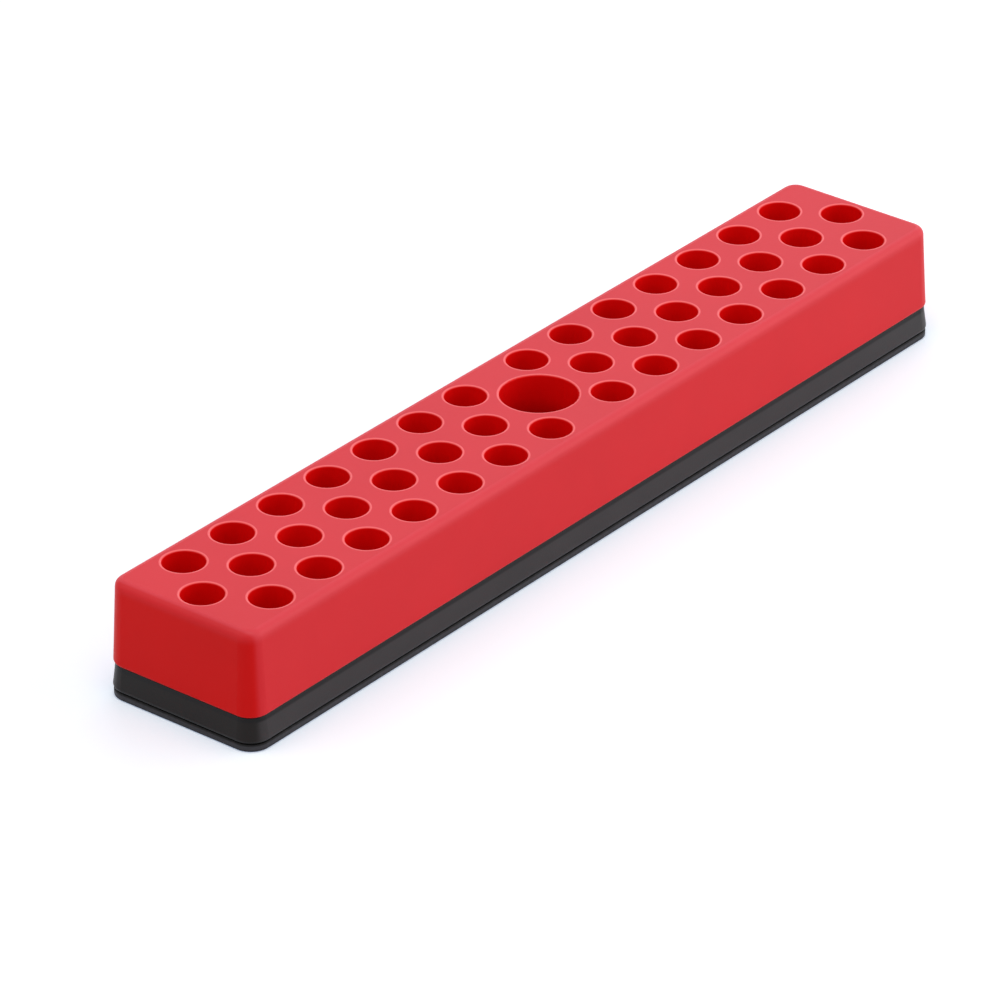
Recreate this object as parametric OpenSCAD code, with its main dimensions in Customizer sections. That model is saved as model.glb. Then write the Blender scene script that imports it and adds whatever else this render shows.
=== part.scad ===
// Bench holder for hexagon bits: a soft-edged moulded block with three lines of
// round sockets right through it, on a flared base tray whose deck is the floor of the
// sockets. The tray holds a row of block magnets, and a thin grip sheet closes it.
// Length runs along X, width along Y, and the sheet stands on Z = 0.

/* [Overall size] */
// Length of the holder at its widest
holder_length = 180; // [176:1:240]
// Width of the holder at its widest
holder_width = 31; // [30:0.5:40]
// Plan radius of the four upright corners at the widest
corner_r = 3.6; // [3.2:0.1:5]

/* [Bit block] */
// Height of the moulded block
block_h = 14.8; // [12:0.2:22]
// How far the block's lower rim is set in from the widest outline
rim_inset = 0.2; // [0:0.05:0.5]
// Draft of the block's side walls, in degrees
block_draft = 3; // [0.5:0.1:4]
// Rounding of the block's top edge
top_edge_r = 1.4; // [0.4:0.1:1.6]
// Rounding of the block's lower rim
rim_edge_r = 0.5; // [0.2:0.1:0.8]

/* [Sockets] */
// Diameter of a bit socket
bit_d = 7; // [6:0.1:8]
// Diameter of the large socket for the bit driver
driver_d = 13; // [10:0.1:13.6]
// Rounding of a socket's mouth
mouth_r = 0.25; // [0.1:0.05:0.5]
// Distance from one socket to the next along a line
pitch = 11.6; // [10.6:0.1:14]
// Distance between the middle line and each outer line
line_gap = 8.9; // [8.6:0.1:9.4]
// Distance from the centre to the first socket of an outer line
first_x = 8.05; // [7.6:0.05:12]
// Least distance from the end of the block to the axis of the last socket
end_land = 5.9; // [5.2:0.1:12]

/* [Base tray] */
// Height of the tray
tray_h = 4.6; // [4.2:0.1:8]
// How far the tray's upper edge is drawn in from the widest outline
tray_inset = 0.6; // [0.3:0.05:1]
// Rounding of the tray's lower edge
tray_edge_r = 0.7; // [0.3:0.1:1]
// Rounding of the tray's upper edge
tray_lip_r = 0.2; // [0.1:0.05:0.3]

/* [Magnets] */
// Size of a magnet along the holder
magnet_l = 20; // [12:0.5:20]
// Size of a magnet across the holder
magnet_w = 25; // [15:0.5:25]
// Thickness of a magnet
magnet_t = 3; // [2:0.1:3.4]
// Clearance between a magnet and each wall of its pocket
magnet_gap = 0.2; // [0.1:0.05:0.4]
// Clearance left under a magnet for the glue
glue_gap = 0.1; // [0.05:0.05:0.3]
// Thickness of the tray's wall beyond the first and the last pocket
end_wall = 2.8; // [2:0.1:4]
// Least thickness of the web between two pockets
pocket_web = 1.5; // [1:0.1:3]
// Corner radius of a magnet pocket
pocket_r = 1; // [0.5:0.1:2]

/* [Grip sheet] */
// Thickness of the grip sheet under the tray
sheet_t = 1.3; // [0.8:0.1:3]
// How far the sheet's outline is set in from the widest outline
sheet_inset = 0.1; // [0:0.05:1]
// Rounding of the sheet's upper and lower edge
sheet_edge_r = 0.3; // [0.1:0.05:0.35]

/* [Hidden] */
$fn = 64;
// Levels, from the bench upwards
tray_z = sheet_t;
block_z = tray_z + tray_h;
// Slopes, as the change of half width over the height
block_slope = tan(block_draft);
tray_slope = tray_inset / tray_h;
// Sockets on each side of the large one, along a line
columns = floor((holder_length / 2 - end_land - first_x) / pitch + 0.5);
// Magnets, as many as the tray takes, spread evenly along it
pocket_l = magnet_l + 2 * magnet_gap;
pocket_w = magnet_w + 2 * magnet_gap;
pocket_h = magnet_t + glue_gap;
pocket_run = holder_length - 2 * end_wall;
magnet_count = floor((pocket_run + pocket_web) / (pocket_l + pocket_web));
magnet_pitch = (pocket_run - pocket_l) / (magnet_count - 1);
// One node for each real piece
magnet_nodes = [for (i = [1 : magnet_count]) str("magnet_", i)];
// Overshoot of cutters, so that no cut ends on a face
over = 1;

// Distance from the axis to the centre of a round edge of radius r at height z, where
// foot is the distance of the sloping wall at z = 0 and tilt its angle off the vertical
function edge_x(foot, tilt, z, r) = foot - (r + z * sin(tilt)) / cos(tilt);

// Half of a disc, on the side away from the axis
module half_disc(r) {
    intersection() {
        circle(r = r);
        translate([0, -r]) square([r, 2 * r]);
    }
}

// Half section of a slab that reaches out to widest, just above its lower edge, and is
// drawn in by slope as it rises, with both of its edges rounded
module half_section(widest, slope, h, low_r, high_r) {
    tilt = atan(slope);
    foot = widest + low_r * ((1 + sin(tilt)) / cos(tilt) - 1);
    low_x = edge_x(foot, tilt, low_r, low_r);
    high_z = h - high_r;
    high_x = edge_x(foot, tilt, high_z, high_r);
    polygon([
        [0, 0],
        [low_x, 0],
        [low_x + low_r * cos(tilt), low_r + low_r * sin(tilt)],
        [high_x + high_r * cos(tilt), high_z + high_r * sin(tilt)],
        [high_x, h],
        [0, h]
    ]);
    translate([low_x, low_r]) half_disc(low_r);
    translate([high_x, high_z]) half_disc(high_r);
}

// Section right across a slab, whose corner axes lie at half_gap from the middle
module full_section(half_gap, widest, slope, h, low_r, high_r) {
    translate([-half_gap, 0]) square([2 * half_gap, h]);
    for (side = [0, 1]) mirror([side, 0])
        translate([half_gap, 0]) half_section(widest, slope, h, low_r, high_r);
}

// Slab with sloping walls, round upright corners and round edges: two runs of the
// section cross in the middle, and the section turns round each corner's axis
module soft_slab(l, w, r, slope, h, low_r, high_r) {
    gap_x = l / 2 - r;
    gap_y = w / 2 - r;
    translate([-gap_x, 0, 0]) rotate([90, 0, 90]) linear_extrude(2 * gap_x)
        full_section(gap_y, r, slope, h, low_r, high_r);
    translate([0, gap_y, 0]) rotate([90, 0, 0]) linear_extrude(2 * gap_y)
        full_section(gap_x, r, slope, h, low_r, high_r);
    for (side_x = [-1, 1], side_y = [-1, 1])
        translate([side_x * gap_x, side_y * gap_y, 0])
            rotate_extrude() half_section(r, slope, h, low_r, high_r);
}

// Cutter for a round socket through the block, with its mouth eased by a round edge
module socket_cutter(d) {
    translate([0, 0, block_z]) rotate_extrude() difference() {
        translate([0, -over]) square([d / 2 + mouth_r, block_h + 2 * over]);
        translate([d / 2, -2 * over]) square([mouth_r + over, block_h - mouth_r + 2 * over]);
        translate([d / 2 + mouth_r, block_h - mouth_r]) circle(r = mouth_r);
    }
}

// Bit sockets: two outer lines, and a middle line that is shifted by half a pitch
module bit_sockets() {
    for (side = [-1, 1], i = [0 : columns - 1]) {
        for (line = [-1, 1])
            translate([side * (first_x + i * pitch), line * line_gap, 0]) socket_cutter(bit_d);
        translate([side * (first_x + (i + 0.5) * pitch), 0, 0]) socket_cutter(bit_d);
    }
}

// Moulded block with all its sockets
module bit_block() {
    color("crimson") difference() {
        translate([0, 0, block_z])
            soft_slab(holder_length - 2 * rim_inset, holder_width - 2 * rim_inset,
                corner_r - rim_inset, block_slope, block_h, rim_edge_r, top_edge_r);
        bit_sockets();
        socket_cutter(driver_d);
    }
}

// Places a child at the position of magnet i, counted from 1
module at_magnet(i) {
    translate([(i - (magnet_count + 1) / 2) * magnet_pitch, 0, tray_z]) children();
}

// Flared tray, open below, with a pocket for each magnet
module base_tray() {
    color("dimgray") difference() {
        translate([0, 0, tray_z])
            soft_slab(holder_length, holder_width, corner_r, tray_slope, tray_h,
                tray_edge_r, tray_lip_r);
        for (i = [1 : magnet_count]) at_magnet(i) magnet_pocket();
    }
}

// Cutter for one pocket, with round corners
module magnet_pocket() {
    translate([0, 0, -over]) linear_extrude(pocket_h + over) {
        square([pocket_l - 2 * pocket_r, pocket_w], center = true);
        square([pocket_l, pocket_w - 2 * pocket_r], center = true);
        for (side_x = [-1, 1], side_y = [-1, 1])
            translate([side_x * (pocket_l / 2 - pocket_r), side_y * (pocket_w / 2 - pocket_r)])
                circle(r = pocket_r);
    }
}

// Block magnet, seated against the roof of its pocket
module magnet(i) {
    color("darkslategray") at_magnet(i)
        translate([-magnet_l / 2, -magnet_w / 2, glue_gap]) cube([magnet_l, magnet_w, magnet_t]);
}

// Thin sheet that closes the tray and grips the bench
module grip_sheet() {
    color("black") soft_slab(holder_length - 2 * sheet_inset, holder_width - 2 * sheet_inset,
        corner_r - sheet_inset, 0, sheet_t, sheet_edge_r, sheet_edge_r);
}

bit_block();
base_tray();
for (i = [1 : magnet_count])
    magnet(i);
grip_sheet();
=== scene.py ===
# %% [markdown]
# # A magnetic bit holder
# The real holder is a long moulded block of soft red vinyl, full of round sockets for
# hexagon bits. The block stands on a black tray that leans outwards to its lower edge,
# and a thin rubber sheet closes the tray from below. Eight block magnets are shut in
# between the two, so that the holder clings to a tool chest.
#
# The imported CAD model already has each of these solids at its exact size, in metres.
# So this script doesn't model them again: it loads them, gives each a finished surface,
# and sets up the studio.

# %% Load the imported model
import math

import bpy
from mathutils import Matrix, Vector


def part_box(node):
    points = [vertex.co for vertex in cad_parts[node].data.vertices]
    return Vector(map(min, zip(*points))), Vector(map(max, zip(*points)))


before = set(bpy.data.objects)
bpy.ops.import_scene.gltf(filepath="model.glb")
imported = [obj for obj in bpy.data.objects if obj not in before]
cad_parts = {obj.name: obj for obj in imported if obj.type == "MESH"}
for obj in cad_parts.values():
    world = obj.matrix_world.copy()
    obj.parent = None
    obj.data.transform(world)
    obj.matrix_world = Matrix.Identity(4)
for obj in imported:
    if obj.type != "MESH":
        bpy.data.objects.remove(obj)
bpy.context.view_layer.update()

MM = 0.001
MM_IN_METRE = 1000.0

print("CAD nodes:", ", ".join(sorted(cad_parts)))

# %% [markdown]
# ## Camera
# The picture was taken through a long lens, from the front left and well above the
# bench. A camera can be placed by its raw coordinates, but they say little. It is easier
# to read as a photographer would say it: what the camera looks at, from which side, how
# high, how far away, and how much it leans. The lamps are hung in the same way later, so
# the two helpers serve both. The numbers come from fitting the 43 socket centres of the
# CAD model to the picture.

# %% Helpers for aiming
def outward(side, height):
    """Direction from the bench to something at that side and height, in degrees.
    Side 0 is the long front of the holder, and 90 its far end."""
    side, height = math.radians(side), math.radians(height)
    return Vector((math.sin(side) * math.cos(height), -math.cos(side) * math.cos(height),
                   math.sin(height)))


def stand(thing, target, side, height, distance, lean=0):
    """Puts a camera or a lamp at that side and height, turned to look at the target."""
    back = outward(side, height)
    right = Vector((0, 0, 1)).cross(back).normalized()
    turn = Matrix((right, back.cross(right), back)).transposed().to_4x4()
    thing.matrix_world = (Matrix.Translation(target + distance * back) @ turn
                          @ Matrix.Rotation(math.radians(lean), 4, "Z"))


print("helpers: outward, stand")

# %% Place the camera
VIEW_SIDE, VIEW_HEIGHT, VIEW_LEAN = -51.027, 28.995, -0.398
VIEW_TARGET = Vector((-7.154, 2.411, 3.05)) * MM
VIEW_DISTANCE = 1072.31 * MM
FOCAL_LENGTH, SENSOR_WIDTH = 235.463, 36

lens = bpy.data.cameras.new("camera")
lens.lens = FOCAL_LENGTH
lens.sensor_width = SENSOR_WIDTH
lens.clip_start = 0.05
lens.clip_end = 20
camera = bpy.data.objects.new("camera", lens)
bpy.context.scene.collection.objects.link(camera)
stand(camera, VIEW_TARGET, VIEW_SIDE, VIEW_HEIGHT, VIEW_DISTANCE, VIEW_LEAN)
bpy.context.scene.camera = camera
bpy.context.scene.view_settings.view_transform = "Standard"
print("camera at", [round(MM_IN_METRE * c, 1) for c in camera.matrix_world.translation])

# %% [markdown]
# ## Small tools for node trees
# A finish is a node tree. It could be drawn by hand in the shader editor, but a script
# has to name each node and link, and a tree is hard to follow when each link takes a
# line. A few helpers keep it short: one adds a node and plugs its inputs, one does
# arithmetic, some make masks and distances, and one opens a node group with named sockets.

# %% Helpers for nodes
def plug(tree, socket, source):
    """Feeds a socket from another socket, or sets it to a plain value."""
    if isinstance(source, bpy.types.NodeSocket):
        tree.links.new(source, socket)
    else:
        socket.default_value = source


def add(tree, kind, feeds=None, **settings):
    """Adds a node of that kind, sets its settings and feeds its inputs by name or number."""
    made = tree.nodes.new("ShaderNode" + kind)
    for name, value in settings.items():
        setattr(made, name, value)
    for name, source in (feeds or {}).items():
        plug(tree, made.inputs[name], source)
    return made


def maths(tree, operation, *values):
    """One Math node, such as ADD, MULTIPLY or MINIMUM, and its result."""
    return add(tree, "Math", dict(enumerate(values)), operation=operation).outputs[0]


print("helpers: plug, add, maths")

# %% Helpers for masks and distances
def fade(tree, value, start, end):
    """0 before start and 1 after end, with a soft passage between them."""
    feeds = {"Value": value, "From Min": start, "From Max": end}
    return add(tree, "MapRange", feeds, interpolation_type="SMOOTHSTEP").outputs[0]


def inverted(tree, mask):
    """1 where the mask is 0, and 0 where it is 1."""
    return maths(tree, "SUBTRACT", 1.0, mask)


def axis_of(tree, vector, axis):
    """The part of a vector along X, Y or Z."""
    return add(tree, "SeparateXYZ", {0: vector}).outputs[axis]


def plan_length(tree, along, across):
    """Length of a step in plan, from how far it goes along and across the holder."""
    step = add(tree, "CombineXYZ", {"X": along, "Y": across}).outputs[0]
    return add(tree, "VectorMath", {0: step}, operation="LENGTH").outputs["Value"]


print("helpers: fade, inverted, axis_of, plan_length")

# %% Helper for node groups
SOCKET_KINDS = {"v": "NodeSocketVector", "f": "NodeSocketFloat"}


def open_group(name, inputs, outputs):
    """A new node group with named sockets: its tree, what it is given and its results."""
    tree = bpy.data.node_groups.new(name, "ShaderNodeTree")
    for label, kind in inputs.items():
        tree.interface.new_socket(label, in_out="INPUT", socket_type=SOCKET_KINDS[kind])
    for label, kind in outputs.items():
        tree.interface.new_socket(label, in_out="OUTPUT", socket_type=SOCKET_KINDS[kind])
    given = tree.nodes.new("NodeGroupInput").outputs
    result = tree.nodes.new("NodeGroupOutput").inputs
    return tree, given, result


print("helper: open_group")

# %% [markdown]
# ## Where the sockets are
# Each mouth of the block gets a narrow pale ring, a painted highlight. The walls inside
# are a brighter red than the top, painted light for the glow through the vinyl, and
# painted shade darkens them further down. A painted mask would need an unwrapped mesh.
# The sockets lie on a plain lattice, though, so a few sums give the distance from any
# point to the nearest one: fold the block onto one quarter, find the nearest place along
# the line, and measure to it. The same sums work for all 42 bit sockets, and the large
# one in the middle is one more. The depth below the top gives the rest: the painted shade
# at the foot of a socket, and the shoulder where a painted sheen goes.

# %% Distance to a line of sockets
PITCH, LINE_GAP, FIRST_PLACE, PLACES = 11.6, 8.9, 8.05, 7


def line_distance(tree, along, across, first):
    """Distance in plan from a folded point to the nearest axis of one line of sockets."""
    step = maths(tree, "DIVIDE", maths(tree, "SUBTRACT", along, first), PITCH)
    place = maths(tree, "MINIMUM", maths(tree, "MAXIMUM", step, 0), PLACES - 1)
    middle = maths(tree, "MULTIPLY_ADD", maths(tree, "ROUND", place), PITCH, first)
    return plan_length(tree, maths(tree, "SUBTRACT", along, middle), across)


print("places on each side of a line:", PLACES)

# %% Node group: socket_field
BIT_R, DRIVER_R, MOUTH_R = 3.5, 6.5, 0.25
BLOCK_TOP = MM_IN_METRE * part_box("bit_block")[1].z

tree, given, result = open_group(
    "socket_field", {"Place": "v"}, {"Mouth": "f", "Wall": "f", "Depth shade": "f", "Shoulder": "f"})
metres = {0: given["Place"], "Scale": MM_IN_METRE}
point = add(tree, "VectorMath", metres, operation="SCALE").outputs[0]
along = maths(tree, "ABSOLUTE", axis_of(tree, point, "X"))
across = maths(tree, "ABSOLUTE", axis_of(tree, point, "Y"))
outer_line = line_distance(tree, along, maths(tree, "SUBTRACT", across, LINE_GAP), FIRST_PLACE)
middle_line = line_distance(tree, along, across, FIRST_PLACE + PITCH / 2)
to_bit = maths(tree, "SUBTRACT", maths(tree, "MINIMUM", outer_line, middle_line), BIT_R)
to_driver = maths(tree, "SUBTRACT", plan_length(tree, along, across), DRIVER_R)
reach = maths(tree, "MINIMUM", to_bit, to_driver)
depth = maths(tree, "SUBTRACT", BLOCK_TOP, axis_of(tree, point, "Z"))
print("the block's top is at", round(BLOCK_TOP, 2), "mm")

# %% Masks of socket_field
RING_ENDS = (0.3, 0.5)
WALL_ENDS = (0.15, MOUTH_R)
SKIN_ENDS = (0.03, 0.18)
# Depths below the top over which painted shade darkens the socket walls.
DEPTH_SHADE_ENDS = (3.8, 8.0)
SHOULDER_ENDS = (0.05, 2.3)

below_skin = fade(tree, depth, *SKIN_ENDS)
ring = inverted(tree, fade(tree, reach, *RING_ENDS))
inside = inverted(tree, fade(tree, reach, *WALL_ENDS))
plug(tree, result["Mouth"], maths(tree, "MULTIPLY", ring, inverted(tree, below_skin)))
plug(tree, result["Wall"], maths(tree, "MULTIPLY", inside, below_skin))
plug(tree, result["Depth shade"], fade(tree, depth, *DEPTH_SHADE_ENDS))
plug(tree, result["Shoulder"], inverted(tree, fade(tree, depth, *SHOULDER_ENDS)))
print("socket_field nodes:", len(tree.nodes))

# %% [markdown]
# ## Effects for the pieces
# Moulded parts are never one flat colour. The melt leaves slow drifts in its shade, the
# mould leaves a fine spark-eroded grain, hands rub the edges, and dust settles where no
# hand goes. One more group marks the top and the long sides, which are painted paler as
# a painted sheen. Each could be built again in every material, but as a node group it is
# built once, and a material uses it at its own size and strength.

# %% Node group: shade_drift
tree, given, result = open_group(
    "shade_drift", {"Place": "v", "Size mm": "f", "Amount": "f"}, {"Shade": "f"})
scale = maths(tree, "DIVIDE", MM_IN_METRE, given["Size mm"])
look = {"Vector": given["Place"], "Scale": scale, "Detail": 3.0, "Roughness": 0.55}
clouds = add(tree, "TexNoise", look).outputs[0]
swing = maths(tree, "MULTIPLY", maths(tree, "SUBTRACT", clouds, 0.5), given["Amount"])
plug(tree, result["Shade"], maths(tree, "MULTIPLY_ADD", swing, 2.0, 1.0))
print("shade_drift: 1 on average, lower in dull places and higher in bright ones")

# %% Node group: mould_grain
tree, given, result = open_group(
    "mould_grain", {"Place": "v", "Size mm": "f", "Dimples": "f"}, {"Height": "f"})
scale = maths(tree, "DIVIDE", MM_IN_METRE, given["Size mm"])
look = {"Vector": given["Place"], "Scale": scale, "Detail": 2.0, "Roughness": 0.5}
fine = add(tree, "TexNoise", look).outputs[0]
look = {"Vector": given["Place"], "Scale": scale, "Randomness": 1.0}
cells = add(tree, "TexVoronoi", look).outputs["Distance"]
dimples = maths(tree, "SUBTRACT", cells, 0.5)
plug(tree, result["Height"], maths(tree, "MULTIPLY_ADD", dimples, given["Dimples"], fine))
print("mould_grain: fine noise with round dimples in it")

# %% Node group: eased_edge
LEAVES_WALL = (0.2, 0.5)
REACHES_TOP = (0.75, 0.995)

tree, given, result = open_group("eased_edge", {"Normal": "v"}, {"Edge": "f"})
upright = maths(tree, "ABSOLUTE", axis_of(tree, given["Normal"], "Z"))
off_wall = fade(tree, upright, *LEAVES_WALL)
off_top = inverted(tree, fade(tree, upright, *REACHES_TOP))
plug(tree, result["Edge"], maths(tree, "MULTIPLY", off_wall, off_top))
print("eased_edge: 1 where a round edge leans between a wall and a flat")

# %% Node group: where sheen is painted
TURNS_TO_END = (0.3, 0.65)

# The mask for painted sheen: 1 on the top and the long sides, 0 on the two ends.
tree, given, result = open_group("painted_sheen_faces", {"Normal": "v"}, {"Sheen mask": "f"})
endways = maths(tree, "ABSOLUTE", axis_of(tree, given["Normal"], "X"))
plug(tree, result["Sheen mask"], inverted(tree, fade(tree, endways, *TURNS_TO_END)))
print("painted_sheen_faces: 1 on the top and the long sides, 0 on the two ends")

# %% Node group: settled_dust
SPECKS_IN_METRE = 900.0
FACES_UP = (0.1, 0.9)
SPECK_ENDS = (0.48, 0.75)

tree, given, result = open_group("settled_dust", {"Place": "v", "Normal": "v"}, {"Dust": "f"})
upward = fade(tree, axis_of(tree, given["Normal"], "Z"), *FACES_UP)
look = {"Vector": given["Place"], "Scale": SPECKS_IN_METRE, "Detail": 4.0, "Roughness": 0.7}
specks = add(tree, "TexNoise", look).outputs[0]
plug(tree, result["Dust"], maths(tree, "MULTIPLY", upward, fade(tree, specks, *SPECK_ENDS)))
print("settled_dust: specks on what faces up")

# %% [markdown]
# ## A frame for each material
# Every material starts alike: a Principled shader, the place of the point on the piece
# and its normal. Object coordinates give the place, because the pattern then stays on
# the piece from any side. Colours are kept as a maker would read them from a paint card,
# in 0 to 255, and turned into the linear light that the shader wants.

# %% Helpers for materials
def paint(red, green, blue):
    """A colour from a 0 to 255 paint card, as linear light."""
    linear = []
    for part in (red / 255, green / 255, blue / 255):
        linear.append(part / 12.92 if part < 0.04045 else ((part + 0.055) / 1.055) ** 2.4)
    return (*linear, 1.0)


def open_material(name, **shine):
    """A new material with its tree, its shader, and the place and normal of each point."""
    made = bpy.data.materials.new(name)
    made.use_nodes = True
    tree = made.node_tree
    shader = tree.nodes["Principled BSDF"]
    for label, value in shine.items():
        shader.inputs[label.replace("_", " ")].default_value = value
    place = add(tree, "TexCoord").outputs["Object"]
    normal = add(tree, "NewGeometry").outputs["Normal"]
    return made, tree, shader, place, normal


def group(tree, name, **feeds):
    """Places one of the groups above in a material."""
    made = add(tree, "Group", node_tree=bpy.data.node_groups[name])
    for label, source in feeds.items():
        plug(tree, made.inputs[label.replace("_", " ")], source)
    return made.outputs


print("helpers: paint, open_material, group")

# %% Helpers for colour, height and relief
def blend(tree, amount, first, second, mode="MIX"):
    """Mixes two colours: the second one shows where amount is 1."""
    made = add(tree, "Mix", {0: amount}, data_type="RGBA", blend_type=mode)
    plug(tree, made.inputs[6], first)
    plug(tree, made.inputs[7], second)
    return made.outputs[2]


def shaded(tree, colour, shade):
    """A colour made lighter or darker by a factor."""
    grey = add(tree, "CombineColor", {"Red": shade, "Green": shade, "Blue": shade}).outputs[0]
    return blend(tree, 1.0, colour, grey, "MULTIPLY")


def height_in_mm(tree, place):
    """Height of the point above the bench, in millimetres."""
    return maths(tree, "MULTIPLY", axis_of(tree, place, "Z"), MM_IN_METRE)


def raise_grain(tree, shader, height, strength, deep_mm):
    """Feeds a height to the shader's normal, as a relief of that depth."""
    feeds = {"Height": height, "Strength": strength, "Distance": deep_mm * MM}
    plug(tree, shader.inputs["Normal"], add(tree, "Bump", feeds).outputs[0])


print("helpers: blend, shaded, height_in_mm, raise_grain")

# %% [markdown]
# ## Red vinyl
# The block is moulded in a slightly soft red vinyl. Its top, its long sides and most of
# all the shoulder between them are painted paler, as a painted sheen, while the two ends
# stay a deeper red. Each mouth has a narrow pale ring, a painted highlight, and the socket
# walls are a brighter red, painted light for the glow through the vinyl, which painted
# shade darkens with depth. One colour with some gloss would look like paint, so each of
# these is a colour of its own, laid over the last one through its mask.

# %% Colours of the vinyl
VINYL = paint(219, 8, 6)
# Painted sheen on the top and the long sides.
VINYL_SHEEN = paint(221, 41, 48)
# Painted sheen on the rounded shoulder between the top and the sides.
VINYL_SHOULDER_SHEEN = paint(227, 70, 79)
# Painted highlight round each socket mouth.
VINYL_RING_HIGHLIGHT = paint(255, 106, 106)
# Painted light: a brighter red on the socket walls for the glow through the vinyl.
VINYL_WALL_GLOW = paint(240, 7, 8)
BLACK = (0.0, 0.0, 0.0, 1.0)
RING_HIGHLIGHT_AMOUNT, DEPTH_SHADE_AMOUNT, END_SHEEN_SHARE = 0.9, 0.3, 0.5
VINYL_ROUGHNESS, RING_POLISH = 0.42, -0.08
LEAN_POWER = 6.0
print("vinyl as linear light:", [round(part, 3) for part in VINYL])

# %% Material: block_vinyl, where the painted sheen goes
block_vinyl, tree, shader, place, normal = open_material("block_vinyl", Specular_IOR_Level=0.12)
sockets = group(tree, "socket_field", Place=place)
sheen_side = group(tree, "painted_sheen_faces", Normal=normal)["Sheen mask"]
flat = maths(tree, "ABSOLUTE", axis_of(tree, normal, "Z"))
tilt = maths(tree, "SQRT", maths(tree, "SUBTRACT", 1.0, maths(tree, "MULTIPLY", flat, flat)))
leans = inverted(tree, maths(tree, "POWER", inverted(tree, tilt), LEAN_POWER))
# Painted sheen on the rounded shoulder: full on the long sides, half on the ends.
sheen_share = maths(tree, "MULTIPLY_ADD", sheen_side, 1 - END_SHEEN_SHARE, END_SHEEN_SHARE)
shoulder_sheen = maths(tree, "MULTIPLY", maths(tree, "MULTIPLY", leans, sheen_share), sockets["Shoulder"])
print("worn: 1 on the shoulder of a long side, half of it on the shoulder of an end")

# %% Material: block_vinyl, its colour, polish and grain
drift = group(tree, "shade_drift", Place=place, Size_mm=22.0, Amount=0.07)["Shade"]
grain = group(tree, "mould_grain", Place=place, Size_mm=0.45, Dimples=0.3)["Height"]
# Painted sheen: the top and the long sides come out paler than the ends.
colour = blend(tree, sheen_side, VINYL, VINYL_SHEEN)
colour = blend(tree, shoulder_sheen, colour, VINYL_SHOULDER_SHEEN)
# Painted highlight round each socket mouth.
colour = blend(tree, maths(tree, "MULTIPLY", sockets["Mouth"], RING_HIGHLIGHT_AMOUNT), colour, VINYL_RING_HIGHLIGHT)
# Socket walls: painted glow, darkened by painted shade towards their foot.
walls = blend(tree, maths(tree, "MULTIPLY", sockets["Depth shade"], DEPTH_SHADE_AMOUNT), VINYL_WALL_GLOW, BLACK)
colour = blend(tree, sockets["Wall"], colour, walls)
polish = maths(tree, "MULTIPLY_ADD", sockets["Mouth"], RING_POLISH, VINYL_ROUGHNESS)
plug(tree, shader.inputs["Base Color"], shaded(tree, colour, drift))
plug(tree, shader.inputs["Roughness"], polish)
raise_grain(tree, shader, grain, strength=0.25, deep_mm=0.04)
print("block_vinyl nodes:", len(tree.nodes))

# %% [markdown]
# ## Black tray
# The tray is a hard black plastic with a satin finish. Its warm brown tint is painted red
# light thrown from the block. Its long sides are painted greyer as a painted sheen, it is
# greyer along its rounded edges, and a little dust lies on what faces up. Painted shade
# darkens the seam under the block's rim and the groove over the sheet. The two seams could
# be cut into the mesh, but the CAD pieces already meet there, so it is enough to darken
# the plastic by its height above the bench.

# %% Colours and seams of the tray
# A warm black: its brown tint is painted red light thrown from the block.
TRAY_BLACK = paint(21, 15, 13)
# Painted sheen on the long sides of the tray.
TRAY_SHEEN = paint(51, 47, 48)
TRAY_EDGE = paint(70, 68, 68)
DUST_GREY = paint(120, 116, 112)
# Painted shade for the seam under the rim and the groove over the sheet.
SEAM_SHADE = paint(8, 6, 7)
EDGE_AMOUNT, DUST_AMOUNT = 0.2, 0.15
TRAY_ROUGHNESS, EDGE_POLISH = 0.38, -0.05
TRAY_FOOT, TRAY_TOP = [MM_IN_METRE * corner.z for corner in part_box("base_tray")]
RIM_SEAM = (TRAY_TOP - 1.05, TRAY_TOP - 0.6)
SHEET_SEAM = (TRAY_FOOT + 0.25, TRAY_FOOT + 0.6)
print("tray from", round(TRAY_FOOT, 2), "to", round(TRAY_TOP, 2), "mm")

# %% Material: tray_plastic
tray_plastic, tree, shader, place, normal = open_material("tray_plastic", Specular_IOR_Level=0.2)
drift = group(tree, "shade_drift", Place=place, Size_mm=9.0, Amount=0.2)["Shade"]
edge = group(tree, "eased_edge", Normal=normal)["Edge"]
dust = group(tree, "settled_dust", Place=place, Normal=normal)["Dust"]
grain = group(tree, "mould_grain", Place=place, Size_mm=0.3, Dimples=0.5)["Height"]
sheen_side = group(tree, "painted_sheen_faces", Normal=normal)["Sheen mask"]
height = height_in_mm(tree, place)
under_rim = fade(tree, height, *RIM_SEAM)
over_sheet = inverted(tree, fade(tree, height, *SHEET_SEAM))
# Painted sheen: the tray's long sides come out greyer than its ends.
colour = shaded(tree, blend(tree, sheen_side, TRAY_BLACK, TRAY_SHEEN), drift)
colour = blend(tree, maths(tree, "MULTIPLY", edge, EDGE_AMOUNT), colour, TRAY_EDGE)
colour = blend(tree, maths(tree, "MULTIPLY", dust, DUST_AMOUNT), colour, DUST_GREY)
# Painted shade in the seam under the rim and the groove over the sheet.
colour = blend(tree, maths(tree, "MAXIMUM", under_rim, over_sheet), colour, SEAM_SHADE)
polish = maths(tree, "MULTIPLY_ADD", edge, EDGE_POLISH, TRAY_ROUGHNESS)
plug(tree, shader.inputs["Base Color"], colour)
plug(tree, shader.inputs["Roughness"], polish)
raise_grain(tree, shader, grain, strength=0.3, deep_mm=0.04)
print("tray_plastic nodes:", len(tree.nodes))

# %% [markdown]
# ## Rubber sheet
# The sheet under the tray is duller and softer than the plastic, with the coarse grain
# of rubber. Its cut edge has a paler lip between the bench and the groove that parts it
# from the tray: the lip is painted light, and the groove painted shade. A stripe by height
# is enough for it, as it was for the tray's seams.

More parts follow.
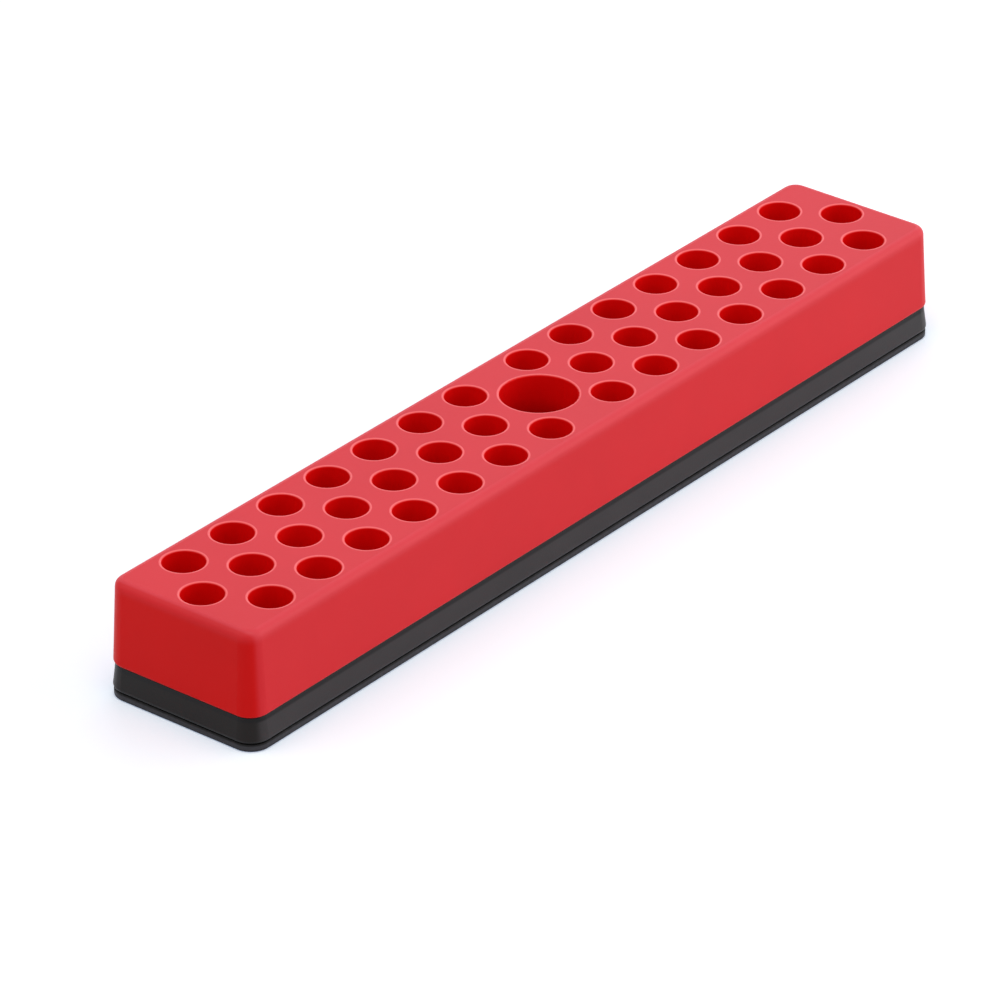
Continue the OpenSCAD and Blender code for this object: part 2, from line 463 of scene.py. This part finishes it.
# %% Material: sheet_rubber
SHEET_BLACK = paint(24, 23, 24)
# Painted light on the sheet's cut edge.
SHEET_LIP_LIGHT = paint(58, 57, 61)
SHEET_TOP = MM_IN_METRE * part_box("grip_sheet")[1].z
LIP_STARTS = (0.15, 0.45)
LIP_STOPS = (SHEET_TOP - 0.4, SHEET_TOP - 0.15)
GROOVE_STARTS = (SHEET_TOP - 0.25, SHEET_TOP - 0.1)
SHEET_ROUGHNESS, GRAIN_DULLING = 0.5, 0.2

sheet_rubber, tree, shader, place, normal = open_material("sheet_rubber", Specular_IOR_Level=0.2)
drift = group(tree, "shade_drift", Place=place, Size_mm=6.0, Amount=0.25)["Shade"]
grain = group(tree, "mould_grain", Place=place, Size_mm=0.8, Dimples=0.9)["Height"]
height = height_in_mm(tree, place)
above_bench = fade(tree, height, *LIP_STARTS)
below_groove = inverted(tree, fade(tree, height, *LIP_STOPS))
# The band where the painted light goes.
lip = maths(tree, "MULTIPLY", above_bench, below_groove)
colour = shaded(tree, blend(tree, lip, SHEET_BLACK, SHEET_LIP_LIGHT), drift)
# Painted shade in the groove under the tray.
colour = blend(tree, fade(tree, height, *GROOVE_STARTS), colour, SEAM_SHADE)
dullness = maths(tree, "MULTIPLY_ADD", grain, GRAIN_DULLING, SHEET_ROUGHNESS)
plug(tree, shader.inputs["Base Color"], colour)
plug(tree, shader.inputs["Roughness"], dullness)
raise_grain(tree, shader, grain, strength=0.5, deep_mm=0.08)
print("sheet_rubber nodes:", len(tree.nodes))

# %% [markdown]
# ## Magnets
# The magnets are pressed and sintered ferrite: a dark grey ceramic with sparkling grains
# and ground faces. They are shut in, and a plain grey would never be noticed, but a
# reader who opens the model finds them. So they get drift and grain as the rest do.

# %% Material: magnet_ferrite
FERRITE_GREY = paint(66, 66, 70)
FERRITE_ROUGHNESS, FERRITE_DULLING = 0.35, 0.25

magnet_ferrite, tree, shader, place, normal = open_material("magnet_ferrite", Metallic=0.25)
drift = group(tree, "shade_drift", Place=place, Size_mm=4.0, Amount=0.3)["Shade"]
grain = group(tree, "mould_grain", Place=place, Size_mm=0.15, Dimples=0.6)["Height"]
dullness = maths(tree, "MULTIPLY_ADD", grain, FERRITE_DULLING, FERRITE_ROUGHNESS)
plug(tree, shader.inputs["Base Color"], shaded(tree, FERRITE_GREY, drift))
plug(tree, shader.inputs["Roughness"], dullness)
raise_grain(tree, shader, grain, strength=0.4, deep_mm=0.03)
print("magnet_ferrite nodes:", len(tree.nodes))

# %% [markdown]
# ## Dress the pieces
# Each CAD piece keeps its mesh and its place. Only the finish in its material slots
# changes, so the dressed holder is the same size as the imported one.

# %% Dress the CAD nodes
FINISH = {"bit_block": block_vinyl, "base_tray": tray_plastic, "grip_sheet": sheet_rubber}

for name, piece in sorted(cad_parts.items()):
    finish = FINISH.get(name, magnet_ferrite)
    for slot in piece.material_slots:
        slot.material = finish
    print(name, "wears", finish.name)

# %% [markdown]
# ## Floor
# The holder stands on plain white paper. To the camera, and in reflections, the paper is
# pale and adds a little cool light of its own, so it comes out white and keeps a faint
# cool shadow beside the tray. All other light meets ordinary pale paper, which throws
# no more onto the holder than real paper would. It lies a hair below the rubber sheet,
# because two faces in one plane come out streaky, and it is clear from below, so that
# the holder's underside can be seen too.

# %% Helper for what is seen
def seen_directly(tree):
    """1 for the camera and for reflected or refracted views, and 0 for all other light."""
    path = add(tree, "LightPath").outputs
    in_gloss = maths(tree, "MAXIMUM", path["Is Glossy Ray"], path["Is Transmission Ray"])
    return maths(tree, "MAXIMUM", path["Is Camera Ray"], in_gloss)


print("helper: seen_directly")

# %% Make the floor
PAPER_GLOW = (0.20, 0.25, 0.375, 1.0)
PAPER_SHADE = (0.96, 0.96, 0.86, 1.0)
PAPER_PLAIN = paint(232, 232, 236)
PAPER_GAP = 0.05
PAPER_SIDE = 12

bpy.ops.object.select_all(action="DESELECT")
bpy.ops.mesh.primitive_plane_add(size=PAPER_SIDE, location=(0, 0, -PAPER_GAP * MM))
floor = bpy.context.object
floor.name = "floor"
print("floor:", floor.name, PAPER_SIDE, "metres square")

# %% Material: paper
paper = bpy.data.materials.new("paper")
paper.use_nodes = True
tree = paper.node_tree
tree.nodes.remove(tree.nodes["Principled BSDF"])
glow = add(tree, "Emission", {"Color": PAPER_GLOW}).outputs[0]
shade = add(tree, "BsdfDiffuse", {"Color": PAPER_SHADE}).outputs[0]
plain = add(tree, "BsdfDiffuse", {"Color": PAPER_PLAIN}).outputs[0]
bright = add(tree, "AddShader", {0: glow, 1: shade}).outputs[0]
surface = add(tree, "MixShader", {0: seen_directly(tree), 1: plain, 2: bright}).outputs[0]
from_below = add(tree, "NewGeometry").outputs["Backfacing"]
clear = add(tree, "BsdfTransparent").outputs[0]
surface = add(tree, "MixShader", {0: from_below, 1: surface, 2: clear}).outputs[0]
plug(tree, tree.nodes["Material Output"].inputs["Surface"], surface)
floor.data.materials.append(paper)
print("paper nodes:", len(tree.nodes))

# %% [markdown]
# ## Light
# A picture like this is taken between large soft boxes in a pale room. The front box
# keeps the long side readable and the top box lights the top. The back box, a cool one,
# gives the top its satin sheen, the end box fills in the near end, which stays darkest,
# and the room softens all the shadows. A lamp could be set in watts, but then its
# effect changes with its distance. So each is set by its level: what it adds to a
# surface that faces it, where 1 shows a colour as written.

# %% Helper for lamps
LAMP_TARGET = Vector((0, 0, 0.01))
PLAIN_WHITE = (1.0, 1.0, 1.0)
COOL_WHITE = (0.86, 0.95, 1.19)


def soft_box(name, side, height, distance, wide, tall, level, tint=PLAIN_WHITE):
    """A lamp behind a cloth front that adds that level of light to what faces it."""
    light = bpy.data.lights.new(name, "AREA")
    light.shape = "RECTANGLE"
    light.size = wide
    light.size_y = tall
    light.color = tint
    light.energy = level * math.pi ** 2 * distance ** 2
    lamp = bpy.data.objects.new(name, light)
    bpy.context.scene.collection.objects.link(lamp)
    stand(lamp, LAMP_TARGET, side, height, distance)
    print(name, "watts:", round(light.energy, 1))


print("helper: soft_box")

# %% Hang the lamps
soft_box("back_box", side=119, height=30, distance=1.6, wide=1.3, tall=0.7, level=0.21,
         tint=COOL_WHITE)
soft_box("front_box", side=40, height=20, distance=1.0, wide=1.2, tall=0.7, level=0.48)
soft_box("end_box", side=-125, height=42, distance=1.4, wide=1.0, tall=0.9, level=0.16)
soft_box("top_box", side=-50, height=76, distance=1.6, wide=1.0, tall=1.0, level=0.31)

# %% Light the room
ROOM_LEVEL = 0.38
ROOM_WHITE = (1.0, 1.0, 1.0, 1.0)

world = bpy.data.worlds.new("room")
bpy.context.scene.world = world
world.use_nodes = True
tree = world.node_tree
strength = maths(tree, "MULTIPLY_ADD", seen_directly(tree), 1 - ROOM_LEVEL, ROOM_LEVEL)
plug(tree, tree.nodes["Background"].inputs["Color"], ROOM_WHITE)
plug(tree, tree.nodes["Background"].inputs["Strength"], strength)
print("room level:", ROOM_LEVEL)
